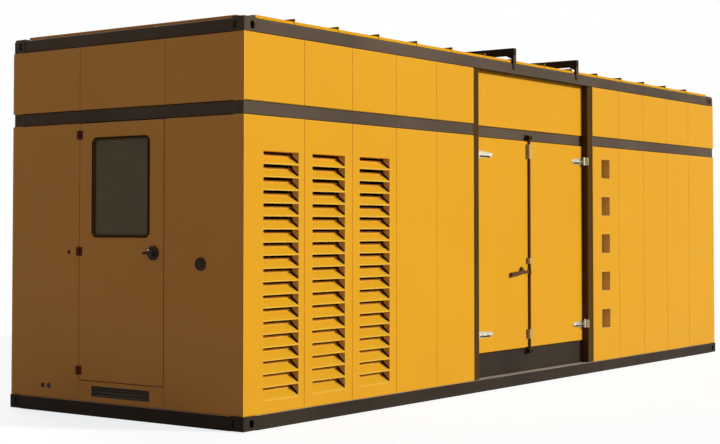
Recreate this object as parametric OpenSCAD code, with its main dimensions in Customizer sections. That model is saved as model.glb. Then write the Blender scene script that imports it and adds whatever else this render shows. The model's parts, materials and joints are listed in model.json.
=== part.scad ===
// Walk-in steel enclosure of a diesel generator: a welded base and rail frame with corner
// castings, insulated wall cassettes, louvre banks, an end door and a recessed double door.
// Millimetres. x runs from the entry end, y from the front side, z up from the ground;
// placed() moves that corner frame so that the origin is under the middle of the base.

/* [Overall] */
// Length over the base frame
length = 8200; // [6800:10:9900]
// Width over the base frame
width = 2438; // [2030:2:2930]
// Height to the top of the corner castings
height = 2896; // [2400:2:3480]

/* [Base frame] */
// Height of the base rails
base_h = 104; // [87:1:125]
// Width of the base rails' flanges
base_flange = 120; // [95:1:150]
// Thickness of the base rails' steel
base_steel = 10; // [6:1:14]
// Thickness of the floor deck
floor_t = 25; // [15:1:35]
// Width of a floor joist
joist_w = 60; // [40:1:80]
// Distance between floor joists
joist_pitch = 600; // [400:10:900]

/* [Rails and posts] */
// Height of the rail between the two bands of wall
mid_rail_h = 96; // [80:1:116]
// Height of the rail under the roof
top_rail_h = 94; // [90:1:113]
// How far rails and posts stand behind the base frame's face
rail_set = 17; // [15:1:24]
// Width of the posts beside the door bay
post_w = 94; // [78:1:130]

/* [Corner castings] */
// Length of a corner casting along the building
casting_w = 142; // [120:1:178]
// Width of a corner casting across the building
casting_d = 122; // [112:1:162]
// Wall of a corner casting
casting_wall = 16; // [12:1:20]
// Width of an aperture in a casting's side
aperture_w = 46; // [38:1:56]
// Height of an aperture in a casting's side
aperture_h = 60; // [54:1:62]
// How far that aperture's middle is off the middle of the casting's side
aperture_off = 20; // [0:1:22]

/* [Walls] */
// How far the wall faces stand behind the base frame's face
wall_set = 10; // [6:1:14]
// Thickness of the walls
wall_t = 100; // [82:1:120]
// Height of the upper band of wall
upper_band_h = 489; // [400:1:590]
// Width of the panel at each corner of a long side
corner_panel = 680; // [570:1:810]
// Width of the far corner panel of a long side
far_panel = 690; // [590:1:820]
// Usual width of a wall panel
panel_pitch = 587; // [490:1:700]
// Width of the joint between panels
seam_w = 5; // [3:1:8]
// Depth of the joint between panels
seam_d = 6; // [3:1:10]
// Height of the joint between a wall and the rail over or under it
edge_gap = 6; // [3:1:9]
// Radius of the walls' outer corners
corner_r = 12; // [10:1:16]

/* [Louvres] */
// Width of a louvre bank
louvre_w = 405; // [340:1:480]
// Number of louvre banks on a long side
bank_count = 3; // [1:1:3]
// Distance from one blade to the next
blade_pitch = 93.2; // [80:0.1:110]
// Depth of a blade, front to back
blade_depth = 75; // [60:1:80]
// Height of a blade from its lip to its back edge
blade_rise = 68; // [60:1:78]
// Height of a blade's front lip and back lip
blade_lip = 9; // [5:1:12]
// Sheet thickness of blades and pans
sheet = 3; // [2:0.5:4]
// Height of the lowest blade over the base frame
louvre_foot = 90; // [60:1:120]
// Wall left over the highest blade
louvre_head = 246; // [200:1:300]
// Wall between the first bank and the panel joint
louvre_margin = 65; // [50:1:90]

/* [Foot pockets] */
// Width of a foot pocket
pocket_w = 180; // [150:1:215]
// Height of a foot pocket
pocket_h = 190; // [160:1:225]
// Depth of a foot pocket
pocket_depth = 92; // [70:1:96]
// Distance from one pocket to the next
pocket_pitch = 371; // [310:1:440]
// Wall over the highest pocket
pocket_head = 124; // [90:1:160]
// Wall between the post and the pockets
pocket_margin = 184; // [150:1:230]

/* [Door bay] */
// Distance from the entry end to the clear bay
bay_x = 3123; // [3050:1:3700]
// Clear width of the bay
bay_w = 2012; // [1700:1:2400]
// How far the header and the sill stand behind the base frame's face
bay_set = 92; // [88:1:100]
// How far the door leaves stand behind the base frame's face
leaf_set = 76; // [74:1:84]
// Thickness of a door leaf
leaf_t = 50; // [40:1:60]
// Height of the sill under the doors
sill_h = 211; // [175:1:250]
// Width of the stops behind the doors
stop_w = 25; // [20:1:30]
// Thickness of the stops behind the doors
stop_t = 20; // [14:1:26]
// Gap round a door leaf
door_gap = 6; // [5:0.5:9]
// Gap between the two leaves
leaf_gap = 12; // [12:0.5:15]
// Width of the left leaf as a share of the clear bay
left_share = 0.452; // [0.45:0.001:0.52]
// Width of the rebate that the lock rod stands in
rebate_w = 76; // [66:1:90]
// Depth of that rebate
rebate_d = 26; // [18:1:34]

/* [Strap hinges] */
// Distance from the bay's jamb to a hinge pin
strap_pin_in = 20; // [18:1:24]
// How far the hinge pins stand behind the base frame's face
strap_pin_set = 47; // [44:1:54]
// Radius of a strap hinge's knuckle
strap_knuckle_r = 13; // [11:0.5:13]
// Radius of a strap hinge's pin
strap_pin_r = 7; // [5:0.5:8]
// Height of a strap at its knuckle
strap_h = 68; // [56:1:80]
// Thickness of a strap
strap_t = 6; // [5:0.5:8]
// Length of the left leaf's straps from the pin
left_strap_len = 295; // [270:1:390]
// Length of the right leaf's straps from the pin
right_strap_len = 190; // [160:1:230]
// Height of the lower straps over the ground
strap_low_z = 479; // [400:1:560]
// Distance from the mid rail down to the upper straps
strap_high_drop = 158; // [125:1:190]

/* [Lock rod] */
// Radius of the lock rod
rod_r = 12; // [10:0.5:13]
// How far the rod's axis stands behind the base frame's face
rod_set = 62; // [58:1:62]
// How far the rod reaches over the sill and the header
rod_reach = 45; // [36:1:55]
// Height of the lock handle over the ground
handle_z = 1013; // [850:1:1200]
// Length of the lock handle from the rod's axis
handle_len = 340; // [280:1:400]
// Height of the lock handle's grip
grip_h = 34; // [28:1:40]

/* [Entry door] */
// Distance from the front side to the entry doorway
entry_y = 771; // [640:1:920]
// Width of the entry doorway
entry_w = 894; // [745:1:1072]
// Height of the entry doorway's sill over the base frame
entry_sill_h = 156; // [130:1:187]
// Thickness of the entry door
entry_t = 60; // [50:1:72]
// Width of the window over its seal
window_w = 606; // [500:1:690]
// Height of the window over its seal
window_h = 755; // [630:1:800]
// Distance from the mid rail down to the window
window_drop = 117; // [97:1:135]
// How far the window's middle is off the door's middle
window_off = 5; // [0:1:20]
// Corner radius of the window's seal
window_r = 46; // [38:1:55]
// Visible width of the window's seal
seal_w = 22; // [16:1:28]
// Height of a hinge of the entry door
hinge_h = 66; // [54:1:80]
// Width of one leaf of that hinge
hinge_leaf_w = 32; // [26:1:38]
// Radius of that hinge's knuckle
knuckle_r = 9; // [7:0.5:9]
// Distance from the window down to the middle of the turning handle
turn_drop = 112; // [94:1:135]
// Distance from the doorway's edge to the middle of the turning handle
turn_in = 106; // [90:1:128]
// Radius of the turning handle's rose
rose_r = 52; // [43:1:60]
// Radius of the turning handle's spindle
spindle_r = 10; // [8:0.5:12]

/* [Sill vent] */
// Width of the vent under the entry door
vent_w = 609; // [510:1:730]
// Height of that vent
vent_h = 82; // [68:1:98]
// Height of that vent over the base frame
vent_foot = 41; // [24:1:44]

/* [Roof] */
// Thickness of the roof deck over the rails
deck_t = 30; // [24:1:36]
// How far the deck's edge stands behind the base frame's face
deck_set = 30; // [24:1:40]
// How far the curbs at the roof's ends stand behind the base frame's face
curb_set = 64; // [50:1:110]
// Thickness of the standing seams, the ribs across the roof
rib_w = 12; // [8:1:16]
// Height of a standing seam over the deck
rib_h = 22; // [16:1:24]
// Distance from one seam to the next
rib_pitch = 531; // [440:1:630]
// Distance from the entry end to the first seam's far side
rib_first = 607; // [500:1:700]
// Width of a roof bridge
bridge_w = 48; // [40:1:60]
// Height of a bridge's beam
bridge_h = 66; // [54:1:80]
// Clear height under a bridge's beam, from the rail's top
bridge_lift = 74; // [66:1:90]
// How far a bridge's leg reaches down the rail
bridge_drop = 51; // [40:1:62]
// Thickness of a bridge's leg
bridge_leg_t = 12; // [8:1:14]

/* [Hidden] */
$fn = 48;

// Colours
yellow = "#ECAC2C";
black = "#332E2C";
zinc = "#C9CCC8";
rust_brown = "#3A1C14";
eps = 1;

// Levels
mid_z0 = height - top_rail_h - upper_band_h - mid_rail_h;
mid_z1 = mid_z0 + mid_rail_h;
top_z0 = height - top_rail_h;
deck_z = height + deck_t;
beam_z = height + bridge_lift;

// Inner face of walls and rails, and the stretch between the long walls' inner faces
inner = wall_set + wall_t;
rail_t = inner - rail_set;

// Door bay
bay_x1 = bay_x + bay_w;
lead_x1 = bay_x - post_w;
tail_x0 = bay_x1 + post_w;
leaf_back = leaf_set + leaf_t;
stop_y = leaf_back + door_gap + 2;
bay_inner = stop_y + stop_t;
sill_z1 = base_h + sill_h;
leaf_z0 = sill_z1 + door_gap;
leaf_z1 = mid_z0 - door_gap;
split_x = bay_x + door_gap + left_share * (bay_w - 2 * door_gap) + rebate_w;

// Wall panels on the long sides
corner_x = wall_set + corner_panel;
lead_count = round((lead_x1 - corner_x) / panel_pitch);
lead_seams = [for (i = [0 : lead_count - 1]) corner_x + i * panel_pitch];
tail_end = length - wall_set - far_panel;
tail_count = round((tail_end - tail_x0) / panel_pitch);
tail_pitch = (tail_end - tail_x0) / tail_count;
tail_seams = [for (i = [1 : tail_count]) tail_x0 + i * tail_pitch];

// Louvre banks: the first stands beside the corner panel's joint, the others in mid panel
louvre_z0 = base_h + louvre_foot;
louvre_rows = round((mid_z0 - louvre_head - louvre_z0) / blade_pitch);
louvre_z1 = louvre_z0 + louvre_rows * blade_pitch;
louvre_xs = [for (i = [0 : bank_count - 1])
    i == 0 ? corner_x - louvre_margin - louvre_w
           : corner_x + (i - 0.5) * panel_pitch - louvre_w / 2];

// Foot pockets
pocket_x = tail_x0 + pocket_margin;
pocket_top = mid_z0 - pocket_head;
pocket_count = 1 + floor((pocket_top - pocket_h - base_h - 250) / pocket_pitch);
pocket_zs = [for (i = [0 : pocket_count - 1]) pocket_top - pocket_h - i * pocket_pitch];

// Entry door
entry_z0 = base_h + entry_sill_h;
entry_y1 = entry_y + entry_w;
entry_mid = entry_y + entry_w / 2;
entry_pin = [wall_set - knuckle_r - 1, entry_y1 - door_gap / 2];
entry_gap = door_gap + pow(entry_t + knuckle_r + 1, 2) / (2 * entry_w);
hinge_zs = [entry_z0 + 77, (entry_z0 + mid_z0) / 2, mid_z0 - 93];
window_y = entry_mid + window_off;
window_z = mid_z0 - window_drop - window_h / 2;
seal_tongue = 8;
turn_y = entry_y + turn_in;
turn_z = window_z - window_h / 2 - turn_drop;
spindle_len = 40;
frame_x0 = wall_set + entry_t + door_gap;

// Strap hinges and lock rod
strap_zs = [strap_low_z, mid_z0 - strap_high_drop];
rod_x = split_x - rebate_w / 2;
rod_z0 = sill_z1 - rod_reach;
rod_z1 = mid_z0 + rod_reach;
lug_h = 20;
run = 1.5;
guide_zs = [leaf_z0 + 120, (leaf_z0 + leaf_z1) / 2 - 155, leaf_z1 - 95];
guide_hs = [85, 52, 132];

// Roof
deck_x0 = wall_set + casting_w;
deck_y0 = wall_set + casting_d;
rib_count = 1 + floor((length - deck_x0 - 280 - rib_first) / rib_pitch);
rib_xs = [for (i = [0 : rib_count - 1]) rib_first - rib_w + i * rib_pitch];
bridge_xs = [bay_x + 604, bay_x1 - 219];

module placed() {
    translate([-length / 2, -width / 2, 0])
        children();
}

// A box between two corners
module block(a, b) {
    translate(a)
        cube(b - a);
}

// Copies its children to the back side as well
module both_sides() {
    children();
    translate([0, width, 0])
        mirror([0, 1, 0])
            children();
}

// Copies its children to the far end as well
module both_ends() {
    children();
    translate([length, 0, 0])
        mirror([1, 0, 0])
            children();
}

// A slot with round ends, w across and h from end to end along y
module slot(w, h) {
    translate([-w / 2, -(h - w) / 2])
        square([w, h - w]);
    for (s = [-1, 1])
        translate([0, s * (h - w) / 2])
            circle(d = w);
}

// A rectangle about its middle with round corners
module round_rect(w, h, r) {
    square([w - 2 * r, h], center = true);
    square([w, h - 2 * r], center = true);
    for (sx = [-1, 1], sy = [-1, 1])
        translate([sx * (w / 2 - r), sy * (h / 2 - r)])
            circle(r = r);
}

// Plan of a stretch of the front wall, round where it ends at a corner of the building
module wall_plan(x0, x1) {
    r0 = x0 == wall_set ? corner_r : 0;
    r1 = x1 == length - wall_set ? corner_r : 0;
    translate([x0, wall_set + corner_r])
        square([x1 - x0, wall_t - corner_r]);
    translate([x0 + r0, wall_set])
        square([x1 - x0 - r0 - r1, wall_t]);
    if (r0 > 0)
        translate([x0 + r0, wall_set + corner_r])
            circle(r = corner_r);
    if (r1 > 0)
        translate([x1 - r1, wall_set + corner_r])
            circle(r = corner_r);
}

// A stretch of the front wall with its panel joints and a joint at each rail
module long_wall(x0, x1, z0, z1, seams) {
    back = wall_set + seam_d;
    difference() {
        union() {
            translate([0, 0, z0 + edge_gap])
                linear_extrude(z1 - z0 - 2 * edge_gap)
                    wall_plan(x0, x1);
            block([max(x0, back), back, z0], [min(x1, length - back), inner, z1]);
        }
        for (x = seams)
            block([x - seam_w / 2, wall_set - eps, z0 - eps],
                  [x + seam_w / 2, wall_set + seam_d, z1 + eps]);
    }
}

// A stretch of the entry end's wall with its panel joints and a joint at each rail
module end_wall(y0, y1, z0, z1, seams, head = edge_gap) {
    difference() {
        union() {
            block([wall_set, y0, z0 + edge_gap], [inner, y1, z1 - head]);
            block([wall_set + seam_d, y0, z0], [inner, y1, z1]);
        }
        for (y = seams)
            block([wall_set - eps, y - seam_w / 2, z0 - eps],
                  [wall_set + seam_d, y + seam_w / 2, z1 + eps]);
    }
}

// A rectangle from the origin, round at that corner
module round_corner(w, h, r) {
    translate([r, 0])
        square([w - r, h]);
    translate([0, r])
        square([w, h - r]);
    translate([r, r])
        circle(r = r);
}

// One hollow corner casting with its corner at the origin, open below, with an aperture in
// both sides and round at its outer edges
module casting(h) {
    r = casting_wall;
    difference() {
        intersection() {
            linear_extrude(h)
                round_corner(casting_w, casting_d, r);
            translate([0, casting_d, 0])
                rotate([90, 0, 0])
                    linear_extrude(casting_d)
                        round_corner(casting_w, h, r);
            rotate([90, 0, 90])
                linear_extrude(casting_w)
                    round_corner(casting_d, h, r);
        }
        translate([casting_wall, casting_wall, casting_wall])
            cube([casting_w - 2 * casting_wall, casting_d - 2 * casting_wall,
                  h - 2 * casting_wall]);
        translate([casting_w / 2 + aperture_off, casting_wall + eps, h / 2])
            rotate([90, 0, 0])
                linear_extrude(casting_wall + 2 * eps)
                    slot(aperture_w, aperture_h);
        translate([-eps, casting_d / 2 + aperture_off, h / 2])
            rotate([90, 0, 90])
                linear_extrude(casting_wall + 2 * eps)
                    slot(aperture_w, aperture_h);
        translate([casting_w / 2, casting_d / 2, -eps])
            linear_extrude(casting_wall + 2 * eps)
                slot(aperture_w, casting_d - 2 * casting_wall);
    }
}

// Channel rails between the corner castings
module base_rails() {
    color(black)
        placed() {
            both_sides()
                difference() {
                    block([casting_w, 0, 0], [length - casting_w, base_flange, base_h]);
                    block([casting_w - eps, base_steel, base_steel],
                          [length - casting_w + eps, base_flange + eps, base_h - base_steel]);
                }
            both_ends()
                difference() {
                    block([0, casting_d, 0], [base_flange, width - casting_d, base_h]);
                    block([base_steel, casting_d - eps, base_steel],
                          [base_flange + eps, width - casting_d + eps, base_h - base_steel]);
                }
        }
}

module bottom_castings() {
    color(black)
        placed()
            both_ends()
                both_sides()
                    casting(base_h);
}

module floor_joists() {
    joists = floor((length - 2 * base_flange) / joist_pitch);
    pitch = (length - 2 * base_flange) / joists;
    color(black)
        placed()
            for (i = [1 : joists - 1])
                block([base_flange + i * pitch - joist_w / 2, base_steel, base_steel],
                      [base_flange + i * pitch + joist_w / 2, width - base_steel,
                       base_h - floor_t]);
}

module floor_deck() {
    color("dimgray")
        placed()
            difference() {
                block([base_flange, base_flange, base_h - floor_t],
                      [length - base_flange, width - base_flange, base_h]);
                for (x = [0, length - casting_w], y = [0, width - casting_d])
                    block([x, y, 0], [x + casting_w, y + casting_d, height]);
            }
}

module door_posts() {
    color(black)
        placed() {
            for (x = [lead_x1, bay_x1])
                block([x, rail_set, base_h], [x + post_w, bay_inner, top_z0]);
            for (x = [lead_x1, bay_x1])
                block([x, width - inner, base_h], [x + post_w, width - rail_set, top_z0]);
        }
}

module mid_side_rails() {
    color(black)
        placed() {
            block([rail_set, rail_set, mid_z0], [lead_x1, inner, mid_z1]);
            block([tail_x0, rail_set, mid_z0], [length - rail_set, inner, mid_z1]);
            for (xs = [[rail_set, lead_x1], [bay_x, bay_x1], [tail_x0, length - rail_set]])
                block([xs[0], width - inner, mid_z0], [xs[1], width - rail_set, mid_z1]);
        }
}

module mid_end_rails() {
    color(black)
        placed()
            both_ends()
                block([rail_set, inner, mid_z0], [inner, width - inner, mid_z1]);
}

module door_header() {
    color(black)
        placed()
            block([bay_x, bay_set, mid_z0], [bay_x1, bay_inner, mid_z1]);
}

// Rails between the top castings, a little less deep than them
module top_rails() {
    color(black)
        placed() {
            both_sides()
                block([deck_x0, rail_set, top_z0], [length - deck_x0, deck_y0 - 4, height]);
            both_ends()
                block([rail_set, deck_y0, top_z0], [deck_x0 - 6, width - deck_y0, height]);
        }
}

module top_castings() {
    color(black)
        placed()
            both_ends()
                both_sides()
                    translate([wall_set, wall_set, height])
                        mirror([0, 0, 1])
                            casting(top_rail_h);
}

// Openings of the louvre banks in the front wall
module louvre_cuts() {
    for (x = louvre_xs)
        block([x, wall_set - eps, louvre_z0], [x + louvre_w, inner + eps, louvre_z1]);
}

module lead_wall() {
    difference() {
        long_wall(wall_set, lead_x1, base_h, mid_z0, lead_seams);
        louvre_cuts();
    }
}

module front_lower_walls() {
    color(yellow)
        placed() {
            lead_wall();
            long_wall(tail_seams[0] - seam_w / 2, length - wall_set, base_h, mid_z0, tail_seams);
        }
}

module front_step_wall() {
    color(yellow)
        placed()
            difference() {
                long_wall(tail_x0, tail_seams[0] - seam_w / 2, base_h, mid_z0, []);
                for (z = pocket_zs)
                    block([pocket_x, wall_set - eps, z],
                          [pocket_x + pocket_w, inner + eps, z + pocket_h]);
            }
}

module front_upper_walls() {
    color(yellow)
        placed() {
            long_wall(wall_set, lead_x1, mid_z1, top_z0, lead_seams);
            long_wall(tail_x0, length - wall_set, mid_z1, top_z0, tail_seams);
        }
}

module over_door_panel() {
    color(yellow)
        placed()
            block([bay_x, leaf_set, mid_z1], [bay_x1, bay_inner, top_z0]);
}

module door_sill() {
    color(black)
        placed()
            block([bay_x, bay_set, base_h], [bay_x1, bay_inner, sill_z1]);
}

// Four bars that line a doorway lying in the x-z plane, between two depths
module stop_bars(x0, x1, z0, z1, y0, y1) {
    bar_gap = 1;
    for (x = [x0, x1 - stop_w])
        block([x, y0, z0], [x + stop_w, y1, z1]);
    for (z = [z0, z1 - stop_w])
        block([x0 + stop_w + bar_gap, y0, z], [x1 - stop_w - bar_gap, y1, z + stop_w]);
}

// Stops behind the doors, round the bay and round the entry doorway
module door_stops() {
    color(black)
        placed() {
            stop_bars(bay_x, bay_x1, sill_z1, mid_z0, stop_y, bay_inner);
            mirror([1, -1, 0])
                stop_bars(entry_y, entry_y1, entry_z0, mid_z0, frame_x0, inner);
        }
}

// Section of a louvre blade: a front lip, a sloping face and a back lip
module blade_section() {
    web = sheet * 1.4;
    polygon([
        [0, 0], [sheet, 0], [sheet, blade_lip - web],
        [blade_depth, blade_rise - blade_lip - web], [blade_depth, blade_rise],
        [blade_depth - sheet, blade_rise], [blade_depth - sheet, blade_rise - blade_lip],
        [0, blade_lip]
    ]);
}

// One bank: two stiles with the blades between them
module louvre_bank(x) {
    for (side = [x, x + louvre_w - sheet])
        block([side, wall_set, louvre_z0], [side + sheet, wall_set + blade_depth, louvre_z1]);
    for (i = [0 : louvre_rows - 1])
        translate([x + sheet, wall_set, louvre_z0 + i * blade_pitch])
            rotate([90, 0, 90])
                linear_extrude(louvre_w - 2 * sheet)
                    blade_section();
}

module louvre_banks() {
    color(yellow)
        placed()
            both_sides()
                for (x = louvre_xs)
                    louvre_bank(x);
}

module foot_pockets() {
    color(yellow)
        placed()
            for (z = pocket_zs)
                difference() {
                    block([pocket_x, wall_set, z],
                          [pocket_x + pocket_w, wall_set + pocket_depth, z + pocket_h]);
                    block([pocket_x + sheet, wall_set - eps, z + sheet],
                          [pocket_x + pocket_w - sheet, wall_set + pocket_depth - sheet,
                           z + pocket_h - sheet]);
                }
}

module back_lower_walls() {
    color(yellow)
        placed()
            translate([0, width, 0])
                mirror([0, 1, 0]) {
                    lead_wall();
                    long_wall(bay_x, bay_x1, base_h, mid_z0, [(bay_x + bay_x1) / 2]);
                    long_wall(tail_x0, length - wall_set, base_h, mid_z0, tail_seams);
                }
}

module back_upper_walls() {
    color(yellow)
        placed()
            translate([0, width, 0])
                mirror([0, 1, 0]) {
                    long_wall(wall_set, lead_x1, mid_z1, top_z0, lead_seams);
                    long_wall(bay_x, bay_x1, mid_z1, top_z0, []);
                    long_wall(tail_x0, length - wall_set, mid_z1, top_z0, tail_seams);
                }
}

module entry_walls() {
    color(yellow)
        placed() {
            end_wall(inner, entry_y, base_h, mid_z0, []);
            end_wall(entry_y1, width - inner, base_h, mid_z0, []);
        }
}

module entry_sill() {
    color(yellow)
        placed()
            difference() {
                end_wall(entry_y, entry_y1, base_h, entry_z0, [entry_y, entry_y1], 0);
                block([wall_set - eps, entry_mid - vent_w / 2, base_h + vent_foot],
                      [inner + eps, entry_mid + vent_w / 2, base_h + vent_foot + vent_h]);
                block([wall_set - eps, entry_y + 180, base_h + vent_foot + vent_h - eps],
                      [wall_set + seam_d / 2, entry_y + 180 + seam_w / 2, entry_z0 + eps]);
            }
}

// Black insert in the sill: a frame with sloping slats
module sill_vent() {
    slats = 3;
    rim = 6;
    pitch = (vent_h - 2 * rim) / slats;
    rise = pitch - 5;
    color(black)
        placed()
            translate([wall_set + 2, entry_mid - vent_w / 2, base_h + vent_foot]) {
                difference() {
                    cube([blade_depth, vent_w, vent_h]);
                    translate([-eps, rim, rim])
                        cube([blade_depth + 2 * eps, vent_w - 2 * rim, vent_h - 2 * rim]);
                }
                for (i = [0 : slats - 1])
                    translate([4, vent_w - rim + eps, rim + 2.5 + i * pitch])
                        rotate([90, 0, 0])
                            linear_extrude(vent_w - 2 * rim + 2 * eps)
                                polygon([[0, 0], [sheet, 0], [rise + sheet, rise], [rise, rise]]);
            }
}

module entry_upper_wall() {
    color(yellow)
        placed()
            end_wall(inner, width - inner, mid_z1, top_z0, [entry_y, entry_y1]);
}

module far_end_walls() {
    color(yellow)
        placed()
            translate([length, 0, 0])
                mirror([1, 0, 0]) {
                    end_wall(inner, width - inner, base_h, mid_z0, [entry_y, entry_y1]);
                    end_wall(inner, width - inner, mid_z1, top_z0, [entry_y, entry_y1]);
                }
}

// The deck between the corner castings, with a joint over the rails and one at each seam
module roof_deck() {
    color(yellow)
        placed()
            difference() {
                union() {
                    block([deck_x0, deck_set + seam_d, height],
                          [length - deck_x0, width - deck_set - seam_d, deck_z]);
                    block([deck_x0, deck_set, height + edge_gap],
                          [length - deck_x0, width - deck_set, deck_z]);
                }
                for (x = rib_xs, y = [deck_set - eps, width - deck_set - seam_d])
                    block([x - seam_w, y, height - eps],
                          [x, y + seam_d + eps, deck_z + eps]);
            }
}

// Standing seams across the deck, and a curb across each end between the castings
module roof_ribs() {
    color(yellow)
        placed() {
            both_ends()
                block([curb_set, deck_y0, height], [deck_x0, width - deck_y0, deck_z]);
            for (x = rib_xs)
                block([x, deck_set, deck_z], [x + rib_w, width - deck_set, deck_z + rib_h]);
        }
}

module bridge_beams() {
    color(black)
        placed()
            for (x = bridge_xs)
                block([x - bridge_w / 2, rail_set - bridge_leg_t, beam_z],
                      [x + bridge_w / 2, width - rail_set + bridge_leg_t, beam_z + bridge_h]);
}

// Legs that stand on the top rails and lap down their face, with a gusset under the beam
module bridge_legs() {
    gusset_h = 32;
    gusset_l = 62;
    leg_back = deck_set - rail_set - 2;
    color(black)
        placed()
            both_sides()
                for (x = bridge_xs)
                    translate([x - bridge_w / 2, rail_set, 0])
                        rotate([90, 0, 90])
                            linear_extrude(bridge_w)
                                polygon([
                                    [-bridge_leg_t, height - bridge_drop],
                                    [0, height - bridge_drop], [0, height],
                                    [leg_back, height], [leg_back, beam_z - gusset_h],
                                    [gusset_l - 30, beam_z - gusset_h * 0.7],
                                    [gusset_l, beam_z - 8], [gusset_l, beam_z],
                                    [-bridge_leg_t, beam_z]
                                ]);
}

// Round cap on the entry end and the two port plugs low on the other side of the door
module wall_caps() {
    color(black)
        placed() {
            translate([wall_set, entry_y - 360, 1160])
                rotate([0, -90, 0])
                    rotate_extrude()
                        polygon([
                            [0, 0], [48, 0], [48, 11], [45, 14], [37, 14], [34, 9],
                            [21, 9], [19, 16], [0, 16]
                        ]);
            for (y = [entry_y1 + 328, entry_y1 + 397])
                translate([wall_set, y, base_h + 96])
                    rotate([0, -90, 0])
                        rotate_extrude()
                            polygon([[0, 0], [20, 0], [20, 3], [17, 5], [9, 5], [8, 3], [0, 3]]);
        }
}

// The side of each entry hinge that stays on the wall, with the pin
module entry_hinge_plates() {
    color(rust_brown)
        placed()
            for (z = hinge_zs)
                translate([entry_pin[0], entry_pin[1], z - hinge_h / 2]) {
                    block([knuckle_r - 4, knuckle_r + 1, 0],
                          [knuckle_r + 1, hinge_leaf_w, hinge_h]);
                    for (z0 = [0, hinge_h * 2 / 3 + 0.5]) {
                        translate([0, 0, z0])
                            cylinder(h = hinge_h / 3 - 0.5, r = knuckle_r);
                        block([knuckle_r - 4, 0, z0],
                              [knuckle_r + 1, knuckle_r + 2, z0 + hinge_h / 3 - 0.5]);
                    }
                    cylinder(h = hinge_h, r = 4);
                }
}

// The side of each entry hinge that swings with the door
module entry_door_hinges() {
    third = hinge_h / 3;
    color(rust_brown)
        placed()
            for (z = hinge_zs)
                translate([entry_pin[0], entry_pin[1], z - hinge_h / 2])
                    difference() {
                        union() {
                            block([knuckle_r - 4, -hinge_leaf_w, 0],
                                  [knuckle_r + 1, -knuckle_r - 1, hinge_h]);
                            translate([0, 0, third + 0.5])
                                cylinder(h = third - 1, r = knuckle_r);
                            block([knuckle_r - 4, -knuckle_r - 2, third + 0.5],
                                  [knuckle_r + 1, 0, 2 * third - 0.5]);
                        }
                        translate([0, 0, -eps])
                            cylinder(h = hinge_h + 2 * eps, r = 4.1);
                    }
}

module entry_door() {
    color(yellow)
        placed()
            difference() {
                block([wall_set, entry_y + entry_gap, entry_z0 + door_gap],
                      [wall_set + entry_t, entry_y1 - door_gap, mid_z0 - door_gap]);
                translate([wall_set - eps, window_y, window_z])
                    rotate([90, 0, 90])
                        linear_extrude(entry_t + 2 * eps)
                            round_rect(window_w - 2 * seal_tongue,
                                       window_h - 2 * seal_tongue, window_r - seal_tongue);
                translate([wall_set - eps, turn_y, turn_z])
                    rotate([0, 90, 0])
                        cylinder(h = spindle_len + 2 + eps, r = spindle_r + 0.1);
            }
}

module entry_window() {
    color("#3D3322")
        placed()
            translate([wall_set + 8, window_y, window_z])
                rotate([90, 0, 90])
                    linear_extrude(8)
                        round_rect(window_w - 2 * seal_w, window_h - 2 * seal_w,
                                   window_r - seal_w);
}

module entry_window_seal() {
    proud = 5;
    color(black)
        placed()
            translate([wall_set, window_y, window_z])
                rotate([90, 0, 90]) {
                    translate([0, 0, -proud])
                        linear_extrude(proud)
                            difference() {
                                round_rect(window_w, window_h, window_r);
                                round_rect(window_w - 2 * seal_w, window_h - 2 * seal_w,
                                           window_r - seal_w);
                            }
                    linear_extrude(24)
                        difference() {
                            round_rect(window_w - 2 * seal_tongue,
                                       window_h - 2 * seal_tongue, window_r - seal_tongue);
                            round_rect(window_w - 2 * seal_w, window_h - 2 * seal_w,
                                       window_r - seal_w);
                        }
                }
}

// Turning handle: a round rose, a hub and a lever towards the hinges
module entry_handle() {
    lever = 74;
    lever_w = 21;
    color(black)
        placed()
            translate([wall_set - run, turn_y, turn_z])
                rotate([0, -90, 0]) {
                    cylinder(h = 14, r = rose_r);
                    translate([0, 0, -spindle_len])
                        cylinder(h = spindle_len + eps, r = spindle_r);
                    cylinder(h = 34, r = 24);
                    translate([-lever_w / 2, 0, 20])
                        cube([lever_w, lever, 14]);
                    translate([0, lever, 20])
                        cylinder(h = 14, r = lever_w / 2);
                }
}

// A leaf of the double door about its own jamb, without the rebate
module leaf(x0, x1) {
    block([x0, leaf_set, leaf_z0], [x1, leaf_back, leaf_z1]);
}

module left_door() {
    color(yellow)
        placed()
            difference() {
                leaf(bay_x + door_gap, split_x);
                block([split_x - rebate_w, leaf_set - eps, leaf_z0 - eps],
                      [split_x + eps, leaf_set + rebate_d, leaf_z1 + eps]);
            }
}

module right_door() {
    color(yellow)
        placed()
            leaf(split_x + leaf_gap, bay_x1 - door_gap);
}

// A strap with its knuckle at the origin: the neck goes back to the leaf, and the strap with
// its pressed rib runs along it
module strap(len) {
    rib_h2 = strap_h * 0.13;
    neck = leaf_set - strap_pin_set;
    barrel = strap_h - 2 * lug_h - 2 * run;
    tip = strap_h * 0.3;
    difference() {
        union() {
            translate([0, 0, -barrel / 2])
                cylinder(h = barrel, r = strap_knuckle_r);
            block([-7, 0, -barrel / 2], [7, neck, barrel / 2]);
            translate([0, neck, 0])
                rotate([90, 0, 0])
                    linear_extrude(strap_t) {
                        polygon([
                            [-7, -strap_h / 2], [40, -strap_h / 2], [len - tip, -tip],
                            [len - tip, tip], [40, strap_h / 2], [-7, strap_h / 2]
                        ]);
                        translate([len - tip, 0])
                            circle(r = tip);
                    }
            translate([0, neck - strap_t + 1, 0])
                rotate([90, 0, 0])
                    linear_extrude(strap_t * 0.7 + 1) {
                        translate([40, -rib_h2])
                            square([len - tip - 40, 2 * rib_h2]);
                        for (x = [40, len - tip])
                            translate([x, 0])
                                circle(r = rib_h2);
                    }
        }
        translate([0, 0, -strap_h])
            cylinder(h = 2 * strap_h, r = strap_pin_r + 0.1);
    }
}

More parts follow.
